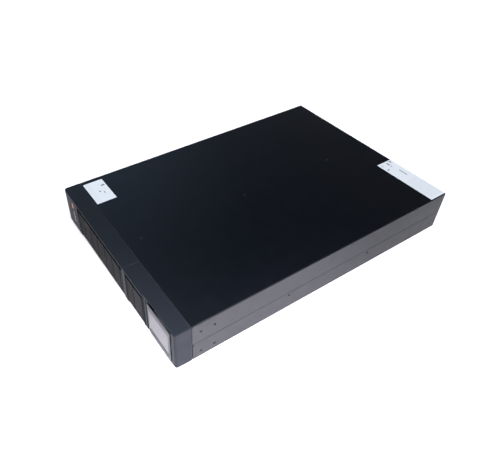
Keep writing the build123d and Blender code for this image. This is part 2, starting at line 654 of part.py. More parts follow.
def fan_guards():
    """The two wire finger guards outside the rear panel."""
    wire = GUARD_WIRE
    arm_y = (BODY_DEPTH, BODY_DEPTH + wire)
    ring = (BODY_DEPTH + wire / 2, BODY_DEPTH + 3 * wire / 2)
    reach = FAN_HOLE * 2 ** 0.5
    guards = []
    for x in FAN_X:
        guard = rod_y(x, FAN_Z, arm_y, 4.0)
        for radius in (11, 19, 27, 35):
            guard += ring_y(x, FAN_Z, ring, radius + wire / 2, radius - wire / 2)
        for turn in (45, 135):
            arm = Box(2 * reach, wire, wire)
            guard += Pos(x, BODY_DEPTH + wire / 2, FAN_Z) * Rot(0, turn, 0) * arm
        for place in fan_screw_places(x):
            guard += rod_y(*place, arm_y, 3.6)
            guard -= rod_y(*place, (BODY_DEPTH - 1, BODY_DEPTH + 3), 1.7)
        guards.append(guard)
    return group(guards)


def outlet_bank(z):
    """Three outlets in one moulding: a groove for the plug's skirt about a boss with three slots."""
    y = (REAR_Y - 21, BODY_DEPTH)
    width, height = OUTLET_FACE
    bank = block(around(OUTLET_X[1], width - 4.2), y, around(z, height - 4.2))
    rim = rounded_block(around(OUTLET_X[1], width), (BODY_DEPTH, BODY_DEPTH + 2), around(z, height), 2)
    bank += chamfer(rim.faces().sort_by(Axis.Y)[-1].edges(), 0.6)
    for x in OUTLET_X:
        well = (BODY_DEPTH - 14, BODY_DEPTH + 3)
        groove = rounded_block(around(x, 24.6), well, around(z, 17.0), 2.5)
        boss = rounded_block(around(x, 19.4), (BODY_DEPTH - 14, BODY_DEPTH + 1), around(z, 11.8), 1.5)
        bank -= groove - boss
        for dx, dz in ((-7, -2), (0, 2.2), (7, -2)):
            bank -= block(around(x + dx, 2.2), (BODY_DEPTH - 12, BODY_DEPTH + 2), around(z + dz, 4.4))
    return bank


def power_inlet():
    """The 16 A mains inlet: a deep shrouded cavity for the supply cord's connector."""
    y = (REAR_Y - 20, BODY_DEPTH)
    x, z = INLET
    shell = block(around(x, INLET_FACE[0] - 4.2), y, around(z, INLET_FACE[1] - 4.2))
    rim = rounded_block(around(x, INLET_FACE[0]), (BODY_DEPTH, BODY_DEPTH + 2), around(z, INLET_FACE[1]), 2)
    shell += chamfer(rim.faces().sort_by(Axis.Y)[-1].edges(), 0.6)
    return shell - rounded_block(around(x, 28.4), (BODY_DEPTH - 16, BODY_DEPTH + 3), around(z, 20.4), 3.0)


def inlet_blades():
    """The inlet's three blades."""
    x, z = INLET
    blades = []
    for dx, dz in ((-8.0, -2.0), (0.0, 3.0), (8.0, -2.0)):
        blade = block(around(x + dx, 7.0), (BODY_DEPTH - 16, BODY_DEPTH - 4), around(z + dz, 2.0))
        blades.append(chamfer(blade.faces().sort_by(Axis.Y)[-1].edges(), 0.4))
    return group(blades)


def external_battery_port():
    """The two-pole connector for an external battery cabinet."""
    x, z = LINK_PORT
    shell = block(around(x, 33.8), (REAR_Y - 20, BODY_DEPTH + 3), around(z, 15.8))
    shell += block(around(x, 36.0), (BODY_DEPTH, BODY_DEPTH + 1.5), around(z, 20.0))
    for side in (-1, 1):
        shell -= block(around(x + side * 7.8, 11), (BODY_DEPTH - 12, BODY_DEPTH + 4), around(z, 11))
        shell += block(around(x + side * 7.8, 7), (BODY_DEPTH - 13, BODY_DEPTH - 3), (z - 5.6, z - 3.2))
    return shell


def breaker_body():
    """The input breaker's case behind the panel, and its bush with the nut."""
    x, z = BREAKER
    case = block(around(x, 18), (REAR_Y - 30, REAR_Y), around(z, 16))
    case += rod_y(x, z, (REAR_Y, BODY_DEPTH + 2.2), 5.4)
    nut = Plane.XZ * Pos(x, z) * RegularPolygon(7.6, 6)
    case += Pos(0, BODY_DEPTH + 1.6, 0) * extrude(nut, 1.6)
    return case - rod_y(x, z, (REAR_Y - 8, BODY_DEPTH + 3), 3.5)


def breaker_button():
    """The breaker's reset button, which springs out when it trips."""
    button = rod_y(*BREAKER, (REAR_Y - 7, BODY_DEPTH + 4), 3.2)
    return fillet(button.edges().group_by(Axis.Y)[-1], 1.0)


def port_board():
    """The small board that the ports stand on."""
    return block((-213.0, -113.0), (565.0, REAR_Y - 0.4), (PORT_FLOOR - BOARD_SHEET, PORT_FLOOR))


def usb_port():
    """The USB type B port."""
    z = (PORT_FLOOR, PORT_FLOOR + 11)
    shell = block(around(USB_X, 12), (REAR_Y - 15, BODY_DEPTH + 1), z)
    shell -= block(around(USB_X, 9.0), (REAR_Y - 9, BODY_DEPTH + 2), around(sum(z) / 2, 8.2))
    return shell + block(around(USB_X, 5.6), (REAR_Y - 10, BODY_DEPTH), around(sum(z) / 2, 3.2))


def serial_port():
    """The nine-way serial port: a D-shaped shell with its nine pins."""
    middle = PORT_FLOOR + 6.2
    body = block(around(SERIAL_X, 20), (REAR_Y - 12, BODY_DEPTH), (PORT_FLOOR, PORT_FLOOR + 11))
    body += block(around(SERIAL_X, 30.8), (BODY_DEPTH, BODY_DEPTH + 0.8), around(middle, 12.4))
    outline = Plane.XZ * Pos(SERIAL_X, middle) * Trapezoid(18.0, 8.6, 80, rotation=180)
    shell = Pos(0, BODY_DEPTH + 4.0, 0) * extrude(fillet(outline.vertices(), 1.6), 4.0)
    well = Plane.XZ * Pos(SERIAL_X, middle) * Trapezoid(16.8, 7.4, 80, rotation=180)
    cavity = Pos(0, BODY_DEPTH + 4.5, 0) * extrude(fillet(well.vertices(), 1.3), 6.0)
    pins = []
    for row, count, z in ((0, 5, middle + 1.42), (1, 4, middle - 1.42)):
        first = SERIAL_X - 2.77 * (count - 1) / 2
        pins += [rod_y(first + 2.77 * i, z, (BODY_DEPTH - 2, BODY_DEPTH + 3), 0.5) for i in range(count)]
    return body + shell - cavity + pins


def network_jacks():
    """The pair of surge-protected network jacks."""
    z = (PORT_FLOOR, PORT_FLOOR + 13)
    shell = block(around(JACKS_X, 30), (REAR_Y - 17, BODY_DEPTH + 1), z)
    for side in (-1, 1):
        x = JACKS_X + side * 7.4
        shell -= block(around(x, 11.8), (REAR_Y - 13, BODY_DEPTH + 2), (z[0] + 1.6, z[0] + 8.6))
        shell -= block(around(x, 6.2), (REAR_Y - 8, BODY_DEPTH + 2), (z[0] + 8.5, z[0] + 11.2))
    return shell


def epo_connector():
    """The emergency power-off terminal, with its two-way plug in place."""
    z = (PORT_FLOOR, PORT_FLOOR + 8)
    body = block(around(EPO_X, 10), (REAR_Y - 10, BODY_DEPTH + 3), z)
    for side in (-1, 1):
        x = EPO_X + side * 2.5
        body -= block(around(x, 2.6), (BODY_DEPTH - 4, BODY_DEPTH + 4), (z[0] + 1, z[0] + 3.6))
        body -= rod_y(x, z[0] + 5.8, (BODY_DEPTH, BODY_DEPTH + 4), 1.3)
    return body


def option_slot_cover():
    """The blanking plate over the communications card slot, with its two screws."""
    x, z = OPTION_SLOT
    plate = rounded_block(x, (BODY_DEPTH, BODY_DEPTH + 1.0), z, 1.5)
    plate += block((x[0] + 30, x[1] - 30), (BODY_DEPTH + 1.0, BODY_DEPTH + 1.6), (z[0] + 12, z[1] - 12))
    for screw_x in (x[0] + 4.5, x[1] - 4.5):
        plate -= rod_y(screw_x, sum(z) / 2, (BODY_DEPTH - 1, BODY_DEPTH + 3), 1.6)
    return plate


# ---------------------------------------------------------------- power electronics
def power_board():
    """The main power board."""
    board = block(BOARD_X, BOARD_Y, (BOARD_Z, BOARD_Z + BOARD_SHEET))
    return board - [rod_z(x, y, (BOARD_Z - 1, BOARD_Z + 3), 1.6) for x, y in standoff_places()]


def standoff_places():
    """Where the power board is screwed down, as (x, y)."""
    return [(x, y) for x in (16.0, 111.0, 206.0) for y in (78.0, 330.0, 582.0)]


def board_standoffs():
    """The posts under the power board."""
    posts = []
    for x, y in standoff_places():
        post = rod_z(x, y, (SHEET, BOARD_Z), 3.0) - rod_z(x, y, (3, BOARD_Z + 1), 1.4)
        posts.append(post - battery_wall_flange())
    return group(posts)


def battery_wall_flange():
    """The space the bay wall's bottom flange takes, kept clear by the posts."""
    return block((BAY_WALL_X, BAY_WALL_X + SHEET + 9), (60, BAY_END_Y), (SHEET, 2 * SHEET))


def heatsinks():
    """Two finned extrusions in the air stream."""
    shapes = []
    width, length, height = HEATSINK
    for x in HEATSINK_X:
        low = BOARD_Z + BOARD_SHEET + 2
        sink = block((x, x + width), (HEATSINK_Y, HEATSINK_Y + length), (low, low + 6))
        fins = 9
        for i in range(fins):
            fin_x = x + 1 + i * (width - 2) / (fins - 1)
            sink += block(around(fin_x, 2.0), (HEATSINK_Y, HEATSINK_Y + length), (low, low + height))
        shapes.append(sink)
    return group(shapes)


def power_transistors():
    """The power transistors clamped along the heatsinks' outer fins."""
    shapes = []
    width, length, _ = HEATSINK
    low = BOARD_Z + BOARD_SHEET
    for x in HEATSINK_X:
        for i in range(8):
            y = HEATSINK_Y + 18 + i * (length - 36) / 7
            body = block((x + width, x + width + 5), around(y, 15.6), (low + 6, low + 27))
            leg_x = around(x + width + 3, 0.8)
            legs = [block(leg_x, around(y + dy, 1.2), (low, low + 6)) for dy in (-5.4, 0, 5.4)]
            shapes.append(body + legs)
    return group(shapes)


def bulk_capacitors():
    """The cans that hold the direct-current link."""
    low = BOARD_Z + BOARD_SHEET
    cans = []
    for x in (34.0, 70.0, 106.0, 142.0, 178.0):
        can = rod_z(x, 425.0, (low, low + 52), 15.0)
        cans.append(fillet(can.edges().group_by(Axis.Z)[-1], 1.5))
    return group(cans)


def wound_parts():
    """The toroidal chokes at the input and the output, and the high-frequency transformer."""
    low = BOARD_Z + BOARD_SHEET
    chokes = [Pos(x, y, low + 11) * Torus(17, 11) for y in (118.0, 500.0) for x in (44.0, 111.0, 178.0)]
    core = block((30, 82), (540, 586), (low, low + 44)) - block((40, 72), (530, 590), (low + 9, low + 35))
    core += block((51, 61), (540, 586), (low, low + 44))
    winding = rounded_block((42, 70), (534, 592), (low + 10, low + 34), 3.0, Axis.Y)
    return group([*chokes, core + winding])


def relays():
    """The bypass and output relays."""
    low = BOARD_Z + BOARD_SHEET
    return group([block((x, x + 22), (548, 578), (low, low + 25)) for x in (100.0, 128.0, 156.0, 184.0)])


def control_board():
    """The upright board with the processor, between the heatsinks."""
    low = BOARD_Z + BOARD_SHEET
    board = block((108.0, 109.6), (170, 390), (low, 80))
    board += block((109.6, 111.2), (250, 270), (40, 60))
    return board + block((104.5, 108.0), (180, 240), (low + 2, low + 8))


def battery_harness():
    """The two stiff leads from the battery socket to the power board."""
    leads = []
    for dx, level in ((-8, 31.0), (8, 39.0)):
        x = PLUG_X + dx
        path = FilletPolyline(
            (x, BAY_END_Y + 10, level),
            (x, BAY_END_Y + 34 + dx / 2, level),
            (14 - dx / 2, BAY_END_Y + 34 + dx / 2, level),
            (14 - dx / 2, BAY_END_Y + 34 + dx / 2, BOARD_Z + BOARD_SHEET),
            radius=9.0,
        )
        leads.append(sweep(Plane(origin=path @ 0, z_dir=path % 0) * Circle(2.8), path))
    return group(leads)


# ---------------------------------------------------------------- writing
def pieces():
    """Every node's name and shape."""
    yield "battery_bezel", battery_bezel()
    yield "display_bezel", display_bezel()
    yield "left_grille", grille(LEFT_OPENING, LEFT_COLUMNS)
    yield "right_grille", grille(RIGHT_OPENING, RIGHT_COLUMNS)
    yield "front_badge", front_badge()
    yield "bezel_receptacles", bezel_receptacles()
    yield "chassis_base", chassis_base()
    yield "top_cover", top_cover()
    yield "cover_screws", cover_screws()
    yield "front_subpanel", front_subpanel()
    yield "rack_ear_nuts", rack_ear_nuts()
    yield "battery_bay_wall", battery_bay_wall()
    yield "battery_socket_bracket", battery_socket_bracket()
    yield "warning_label", warning_label()
    yield "rating_label", rating_label()
    yield "battery_tray", battery_tray()
    yield "battery_blocks", battery_blocks()
    yield "battery_links", battery_links()
    yield "battery_plug", battery_plug()
    yield "battery_socket", battery_socket()
    yield "battery_harness", battery_harness()
    yield "tray_handle", tray_handle()
    for name, x in zip(("thumbscrew_left", "thumbscrew_right"), THUMBSCREW_X):
        yield name, thumbscrew(x)
    yield "display_carrier", display_carrier()
    yield "display_housing", display_housing()
    yield "display_window", display_window()
    yield "lcd_panel", lcd_panel()
    yield "display_board", display_board()
    for index, name in enumerate(KEY_NAMES):
        yield name, key(index)
    yield "rear_panel", rear_panel()
    yield "rear_screws", rear_screws()
    for side, x in zip(("left", "right"), FAN_X):
        yield f"fan_frame_{side}", fan_frame(x)
        yield f"fan_rotor_{side}", fan_rotor(x)
    yield "fan_guards", fan_guards()
    for name, z in OUTLET_ROWS.items():
        yield name, outlet_bank(z)
    yield "power_inlet", power_inlet()
    yield "inlet_blades", inlet_blades()
    yield "external_battery_port", external_battery_port()
    yield "breaker_body", breaker_body()
    yield "breaker_button", breaker_button()
    yield "port_board", port_board()
    yield "usb_port", usb_port()
    yield "serial_port", serial_port()
    yield "network_jacks", network_jacks()
    yield "epo_connector", epo_connector()
    yield "option_slot_cover", option_slot_cover()
    yield "power_board", power_board()
    yield "board_standoffs", board_standoffs()
    yield "heatsinks", heatsinks()
    yield "power_transistors", power_transistors()
    yield "bulk_capacitors", bulk_capacitors()
    yield "wound_parts", wound_parts()
    yield "relays", relays()
    yield "control_board", control_board()


os.makedirs("parts", exist_ok=True)
for node, shape in pieces():
    write(node, shape)
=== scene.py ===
import json
import math

import bmesh
import bpy
from mathutils import Matrix, Vector


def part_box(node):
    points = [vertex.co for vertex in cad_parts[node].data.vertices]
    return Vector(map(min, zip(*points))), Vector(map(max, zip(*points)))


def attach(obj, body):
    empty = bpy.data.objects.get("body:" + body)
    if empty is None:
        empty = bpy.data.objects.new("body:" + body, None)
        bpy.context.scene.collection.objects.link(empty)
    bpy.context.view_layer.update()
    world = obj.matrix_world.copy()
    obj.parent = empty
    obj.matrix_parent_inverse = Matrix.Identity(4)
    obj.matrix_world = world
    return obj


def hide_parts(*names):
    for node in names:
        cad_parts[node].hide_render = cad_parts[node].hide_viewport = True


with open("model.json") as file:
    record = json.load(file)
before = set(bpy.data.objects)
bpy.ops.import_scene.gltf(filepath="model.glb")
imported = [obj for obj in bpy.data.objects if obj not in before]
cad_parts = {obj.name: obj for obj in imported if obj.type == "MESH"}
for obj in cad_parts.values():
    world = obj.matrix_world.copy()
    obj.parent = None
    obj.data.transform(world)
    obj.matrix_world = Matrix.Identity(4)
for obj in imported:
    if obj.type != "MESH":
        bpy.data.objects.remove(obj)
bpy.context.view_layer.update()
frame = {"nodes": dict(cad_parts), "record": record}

# Lengths are in metres, and given angles in degrees.

# The camera's place relative to the middle of the front's lower edge, and how it looks
CAMERA_FROM_FRONT = Vector((0.6136, -0.2073, 0.7135))
CAMERA_AZIMUTH = 57.25
CAMERA_ELEVATION = 41.84
CAMERA_ROLL = -0.21
CAMERA_LENS = 35.83
CAMERA_SHIFT = 0.1035

FLOOR_HALF = 14.0
FLOOR_DROP = 0.0002  # below the underside, so that the two never lie in one plane
BACKDROP_RADIUS = 13.5
BACKDROP_HEIGHT = 4.4
BACKDROP_FADE_FROM = 2.2
BACKDROP_SIDES = 96

# The badge's bar and dashes; a size is width, depth and height, and a drop is from the badge's top.
BADGE_PROUD = 0.0005
BADGE_BAR = (0.0058, BADGE_PROUD, 0.0126)
BADGE_BAR_DROP = 0.0076
BADGE_DASH = (0.0042, BADGE_PROUD, 0.0038)
BADGE_DASH_DROP = 0.0245
BADGE_DASH_PITCH = 0.0056
BADGE_DASHES = 5

# The fans' wire guards, blades and hubs
GUARD_WIRE_R = 0.0008
GUARD_RINGS = (0.011, 0.019, 0.027, 0.035)
GUARD_HOLE = 0.03575  # half of the screws' spacing
EYELET_R = 0.0031
EYELET_INNER = 0.0022
BLADES = 7
BLADE_ROOT_R = 0.0145
BLADE_TIP_R = 0.0365
BLADE_INSET = 0.0018  # from the rotor's front and back
BLADE_THICKNESS = 0.0012

CASE_PAINT = (0.0010, 0.0015, 0.0032)
EDGE_WEAR_AND_HIGHLIGHT_TINT = (0.30, 0.34, 0.42)  # what edges tend to, partly from wear and partly as a painted highlight along them
HOUSING_FACE = 0.0003  # depth of the display's pale face, and of the fade to the painted shade on its sides
# painted shade on the display housing's sides, so that the gap beside the plate reads dark
HOUSING_SIDE_SHADE = (0.02, 0.02, 0.022)
LABEL_WHITE = (0.49, 0.52, 0.56)
LABEL_INK = (0.05, 0.055, 0.07)
BADGE_ORANGE = (0.42, 0.06, 0.018)
BADGE_GREY = (0.20, 0.20, 0.22)


# ---------------------------------------------------------------- shader helpers
def new_material(name):
    """A new node material, with its tree and its principled shader."""
    material = bpy.data.materials.new(name)
    material.use_nodes = True
    tree = material.node_tree
    return material, tree, tree.nodes["Principled BSDF"]


def add(tree, kind, **settings):
    """A new node with some of its settings."""
    node = tree.nodes.new(kind)
    for key, value in settings.items():
        setattr(node, key, value)
    return node


def object_point(tree):
    """The shaded point's place in the object's own frame, which is the CAD frame."""
    return add(tree, "ShaderNodeTexCoord").outputs["Object"]


def split_axes(tree, where):
    """The X, Y and Z of a point."""
    split = add(tree, "ShaderNodeSeparateXYZ")
    tree.links.new(where, split.inputs[0])
    return split.outputs


def noise(tree, vector, scale, detail=3.0, roughness=0.5):
    """A noise value over the surface, with a scale in cycles per metre."""
    node = add(tree, "ShaderNodeTexNoise")
    node.inputs["Scale"].default_value = scale
    node.inputs["Detail"].default_value = detail
    node.inputs["Roughness"].default_value = roughness
    tree.links.new(vector, node.inputs["Vector"])
    return node.outputs["Fac"]


def spread(tree, value, low, high, start=0.3, stop=0.7):
    """Maps start..stop, by default the usual range of a noise, to low..high."""
    node = add(tree, "ShaderNodeMapRange")
    node.inputs["From Min"].default_value = start
    node.inputs["From Max"].default_value = stop
    node.inputs["To Min"].default_value = low
    node.inputs["To Max"].default_value = high
    tree.links.new(value, node.inputs["Value"])
    return node.outputs["Result"]


def mix(tree, factor, first, second):
    """Mixes two colours; each may be a socket or a colour."""
    node = add(tree, "ShaderNodeMix", data_type="RGBA")
    tree.links.new(factor, node.inputs[0])
    for socket, value in ((node.inputs[6], first), (node.inputs[7], second)):
        if isinstance(value, bpy.types.NodeSocket):
            tree.links.new(value, socket)
        else:
            socket.default_value = (*value[:3], 1.0)
    return node.outputs[2]


def bump(tree, shader, height, strength, depth):
    """Gives a shader a fine relief."""
    relief = add(tree, "ShaderNodeBump")
    relief.inputs["Strength"].default_value = strength
    relief.inputs["Distance"].default_value = depth
    tree.links.new(height, relief.inputs["Height"])
    tree.links.new(relief.outputs["Normal"], shader.inputs["Normal"])


def edge_mask(tree, radius, strength):
    """The strength along edges and 0 on the flats, from how far a rounded normal turns from the true one."""
    turned, flat = 0.75, 0.985  # cosines of the angle between the two normals
    bevel = add(tree, "ShaderNodeBevel", samples=4)
    bevel.inputs["Radius"].default_value = radius
    geometry = add(tree, "ShaderNodeNewGeometry")
    dot = add(tree, "ShaderNodeVectorMath", operation="DOT_PRODUCT")
    tree.links.new(bevel.outputs["Normal"], dot.inputs[0])
    tree.links.new(geometry.outputs["Normal"], dot.inputs[1])
    return spread(tree, dot.outputs["Value"], strength, 0.0, turned, flat)


def combine(tree, operation, first, second=None, third=None):
    """A maths node over sockets or plain numbers."""
    node = add(tree, "ShaderNodeMath", operation=operation)
    for socket, value in zip(node.inputs, (first, second, third)):
        if isinstance(value, bpy.types.NodeSocket):
            tree.links.new(value, socket)
        elif value is not None:
            socket.default_value = value
    return node.outputs[0]


def boxes_mask(tree, where, boxes):
    """1 inside any of the upright boxes, given as (low x, high x, low y, high y)."""
    axes = split_axes(tree, where)
    mask = 0.0
    for left, right, front, back in boxes:
        in_x = combine(tree, "COMPARE", axes["X"], (left + right) / 2, (right - left) / 2)
        in_y = combine(tree, "COMPARE", axes["Y"], (front + back) / 2, (back - front) / 2)
        mask = combine(tree, "MAXIMUM", combine(tree, "MULTIPLY", in_x, in_y), mask)
    return mask


def ruled_mask(tree, where, axis, pitch, share):
    """1 on evenly spaced lines across one axis, each taking up a share of the pitch."""
    steps = combine(tree, "DIVIDE", split_axes(tree, where)[axis], pitch)
    return combine(tree, "LESS_THAN", combine(tree, "FRACT", steps), share)


def shade(colour, factor):
    """A colour made lighter or darker."""
    return tuple(min(1.0, channel * factor) for channel in colour[:3])


def moulded(name, colour, rough=0.45, grain=1400.0, depth=0.00005, mottle=0.12, edge_wear_and_highlight=0.25, specular=0.5):
    """Plastic or paint: fine spark-eroded grain, slow colour drift, patchy sheen, and paler edges that are
    partly wear and partly a painted highlight.
    """
    material, tree, shader = new_material(name)
    where = object_point(tree)
    drift = noise(tree, where, 18.0, 4.0)
    fine = noise(tree, where, grain, 2.0)
    body = mix(tree, drift, shade(colour, 1.0 - mottle), shade(colour, 1.0 + mottle))
    body = mix(tree, spread(tree, fine, 0.0, 0.35), body, shade(colour, 1.35))
    # Paler, cooler edges: partly wear, partly a painted highlight along the edges.
    worn_and_highlit_edge = [0.6 * channel + 0.4 * pale for channel, pale in zip(colour, EDGE_WEAR_AND_HIGHLIGHT_TINT)]
    body = mix(tree, edge_mask(tree, 0.0009, edge_wear_and_highlight), body, worn_and_highlit_edge)
    tree.links.new(body, shader.inputs["Base Color"])
    patches = noise(tree, where, 45.0, 5.0, 0.6)
    tree.links.new(spread(tree, patches, rough - 0.03, rough + 0.04), shader.inputs["Roughness"])
    bump(tree, shader, fine, 0.35, depth)
    shader.inputs["Specular IOR Level"].default_value = specular
    return material


def paint_shade_behind(material, y, blend, colour):
    """Paints shade into a finish behind a plane across Y, where it turns to another, darker colour."""
    tree = material.node_tree
    shader = tree.nodes["Principled BSDF"]
    shade_share = spread(tree, split_axes(tree, object_point(tree))["Y"], 0.0, 1.0, y, y + blend)
    body = shader.inputs["Base Color"].links[0].from_socket
    tree.links.new(mix(tree, shade_share, body, colour), shader.inputs["Base Color"])


def brushed(name, colour, rough=0.32, axis=1, edge_wear_and_highlight=0.3):
    """Bare or plated metal with fine lines along one axis (0, 1 or 2) and darker stains."""
    material, tree, shader = new_material(name)
    where = object_point(tree)
    stretch = add(tree, "ShaderNodeMapping")
    across, along = 2400.0, 30.0
    stretch.inputs["Scale"].default_value = [along if index == axis else across for index in range(3)]
    tree.links.new(where, stretch.inputs["Vector"])
    lines = noise(tree, stretch.outputs["Vector"], 1.0, 2.0)
    stains = noise(tree, where, 25.0, 5.0, 0.65)
    body = mix(tree, stains, shade(colour, 0.82), shade(colour, 1.08))
    body = mix(tree, spread(tree, lines, 0.0, 0.25), body, shade(colour, 0.6))
    # Paler edges: partly wear, partly a painted highlight along them.
    body = mix(tree, edge_mask(tree, 0.0006, edge_wear_and_highlight), body, shade(colour, 1.4))
    tree.links.new(body, shader.inputs["Base Color"])
    tree.links.new(spread(tree, lines, rough - 0.08, rough + 0.12), shader.inputs["Roughness"])
    bump(tree, shader, lines, 0.2, 0.00003)
    shader.inputs["Metallic"].default_value = 1.0
    return material


def label_film(name, node, marks, table):
    """White printed film with plain marks and a block of faint ruled lines; no lettering.

    marks and table are boxes in shares of the label's width and depth.
    """
    low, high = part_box(node)
    width, depth = high.x - low.x, high.y - low.y

    def placed(box):
        left, right, front, back = box
        return low.x + left * width, low.x + right * width, low.y + front * depth, low.y + back * depth

    material = moulded(name, LABEL_WHITE, rough=0.36, grain=700.0, depth=0.00001, mottle=0.02, edge_wear_and_highlight=0.0)
    tree = material.node_tree
    shader = tree.nodes["Principled BSDF"]
    where = object_point(tree)
    film = shader.inputs["Base Color"].links[0].from_socket
    ink = boxes_mask(tree, where, [placed(box) for box in marks])
    rules = ruled_mask(tree, where, "X", pitch=0.0036, share=0.3)
    lines = combine(tree, "MULTIPLY", boxes_mask(tree, where, [placed(table)]), rules)
    for print_mask, density in ((lines, 0.16), (ink, 0.85)):
        film = mix(tree, combine(tree, "MULTIPLY", print_mask, density), film, LABEL_INK)
    tree.links.new(film, shader.inputs["Base Color"])
    return material


# ---------------------------------------------------------------- finishes of the record's slots
def make_finishes():
    """One material for each of the record's slots but the labels', which have their own."""
    powder_coat = {"rough": 0.38, "grain": 1100.0, "mottle": 0.10, "edge_wear_and_highlight": 0.09, "specular": 0.24}
    made = {
        "painted_steel_cover": moulded("cover_paint", CASE_PAINT, **powder_coat),
        "painted_steel_side": moulded("base_paint", CASE_PAINT, **powder_coat),
        # The bezel's high edge value paints a light highlight line along its edges, on top of some wear.
        "bezel_plastic": moulded(
            "bezel_moulding", (0.006, 0.008, 0.012),
            rough=0.56, grain=1500.0, mottle=0.10, edge_wear_and_highlight=0.35, specular=0.14,
        ),
        "grille_plastic": moulded(
            "grille_moulding", (0.006, 0.006, 0.0075),
            rough=0.62, grain=1500.0, mottle=0.15, edge_wear_and_highlight=0.06, specular=0.06,
        ),
        "badge_metal": brushed("badge_satin", (0.62, 0.62, 0.64), rough=0.30, axis=2),
        "galvanised_steel": brushed("zinc_sheet", (0.52, 0.54, 0.55), rough=0.42, axis=1),
        "screw_steel": brushed("zinc_screws", (0.42, 0.42, 0.44), rough=0.30, axis=1),
        "black_screw": moulded(
            "oxide_screws", (0.005, 0.006, 0.008),
            rough=0.45, grain=900.0, depth=0.00003, mottle=0.10, edge_wear_and_highlight=0.04, specular=0.25,
        ),
        "battery_case": moulded(
            "battery_case", (0.035, 0.036, 0.040),
            rough=0.40, grain=1000.0, mottle=0.12, edge_wear_and_highlight=0.2,
        ),
        "copper_link": brushed("tinned_copper", (0.72, 0.44, 0.28), rough=0.30, axis=0),
        "connector_plastic": moulded("connector_nylon", (0.020, 0.020, 0.022)),
        "cable_red": moulded("lead_insulation", (0.25, 0.018, 0.015), rough=0.42, grain=500.0),
        "knurled_steel": brushed("nickel", (0.60, 0.60, 0.61), rough=0.22, axis=1),
        "display_plastic": moulded(
            "display_moulding", (0.068, 0.066, 0.075),
            rough=0.52, grain=1500.0, depth=0.00004, mottle=0.10, edge_wear_and_highlight=0.10, specular=0.10,
        ),
        "lcd_glass": moulded(
            "crystal_panel", (0.26, 0.25, 0.30),
            rough=0.20, grain=60.0, depth=0.000005, mottle=0.08, edge_wear_and_highlight=0.0,
        ),
        "circuit_board": moulded(
            "solder_mask", (0.020, 0.13, 0.05),
            rough=0.30, grain=250.0, depth=0.00002, mottle=0.2, edge_wear_and_highlight=0.1,
        ),
        "key_rubber": moulded("key_rubber", (0.010, 0.010, 0.013), rough=0.75, grain=1500.0, specular=0.2),
        "panel_paint": moulded(
            "panel_paint", (0.012, 0.013, 0.015),
            rough=0.45, grain=1100.0, depth=0.00006, mottle=0.12, edge_wear_and_highlight=0.3,
        ),
        "fan_plastic": moulded("fan_moulding", (0.013, 0.013, 0.014), rough=0.42, grain=1200.0),
        "guard_wire": brushed("guard_nickel", (0.60, 0.60, 0.61), rough=0.22, axis=1),
        "socket_plastic": moulded("socket_moulding", (0.014, 0.014, 0.015), rough=0.38, grain=1600.0),
        "blade_brass": brushed("plated_brass", (0.66, 0.58, 0.42), rough=0.25, axis=1),
        "port_shell": brushed("tinned_shell", (0.56, 0.56, 0.58), rough=0.28, axis=1),
        "terminal_green": moulded("terminal_green", (0.02, 0.22, 0.075), rough=0.38, grain=1300.0),
        "heatsink_aluminium": brushed("extruded_aluminium", (0.66, 0.67, 0.68), rough=0.36, axis=1),
        "capacitor_sleeve": moulded("capacitor_sleeve", (0.010, 0.018, 0.06), rough=0.22, grain=300.0),
        "winding_copper": brushed("enamelled_copper", (0.42, 0.17, 0.06), rough=0.28, axis=2),
        "relay_case": moulded("relay_case", (0.010, 0.010, 0.011), rough=0.28, grain=1000.0),
        "button_plastic": moulded("button_plastic", (0.016, 0.016, 0.017), rough=0.25, grain=1000.0),
        "window_clear": moulded(
            "window_film", (0.105, 0.098, 0.112),
            rough=0.30, grain=90.0, depth=0.00002, mottle=0.12, edge_wear_and_highlight=0.0, specular=0.10,
        ),
    }
    # The display housing's sides get painted shade behind its face, so that the gap beside the plate reads
    # dark.
    face_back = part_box("battery_bezel")[0].y + HOUSING_FACE
    paint_shade_behind(made["display_plastic"], face_back, HOUSING_FACE, HOUSING_SIDE_SHADE)
    return made


def make_labels():
    """The printed film of each label, by node."""
    warning_marks = [(0.25, 0.31, 0.74, 0.92), (0.48, 0.54, 0.47, 0.55), (0.57, 0.65, 0.66, 0.71)]
    rating_marks = [(0.02, 0.06, 0.78, 0.88), (0.04, 0.10, 0.52, 0.62), (0.12, 0.15, 0.54, 0.60)]
    rating_marks += [(0.16, 0.19, 0.14, 0.24), (0.04, 0.08, 0.16, 0.20), (0.26, 0.41, 0.64, 0.70)]
    return {
        "warning_label": label_film("warning_film", "warning_label", warning_marks, (0.06, 0.94, 0.06, 0.30)),
        "rating_label": label_film("rating_film", "rating_label", rating_marks, (0.50, 0.97, 0.08, 0.94)),
    }


def dress_nodes(finishes, labels):
    """Gives every CAD node the finish of its slot, and each label its own print."""
    for entry in frame["record"]["subparts"]:
        piece = frame["nodes"][entry["node"]]
        piece.data.materials.clear()
        piece.data.materials.append(labels.get(entry["node"]) or finishes[entry["material_slot"]])


# ---------------------------------------------------------------- pieces in place of plain CAD ones
def finished_mesh(name, form):
    """A mesh of what has been formed."""
    mesh = bpy.data.meshes.new(name)
    form.to_mesh(mesh)
    form.free()
    return mesh


def new_piece(name, data, material, body, stands_for):
    """Adds a piece that rides on a body and stands for a CAD node."""
    piece = bpy.data.objects.new(name, data)
    bpy.context.scene.collection.objects.link(piece)
    data.materials.append(material)
    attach(piece, body)
    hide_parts(stands_for)
    return piece


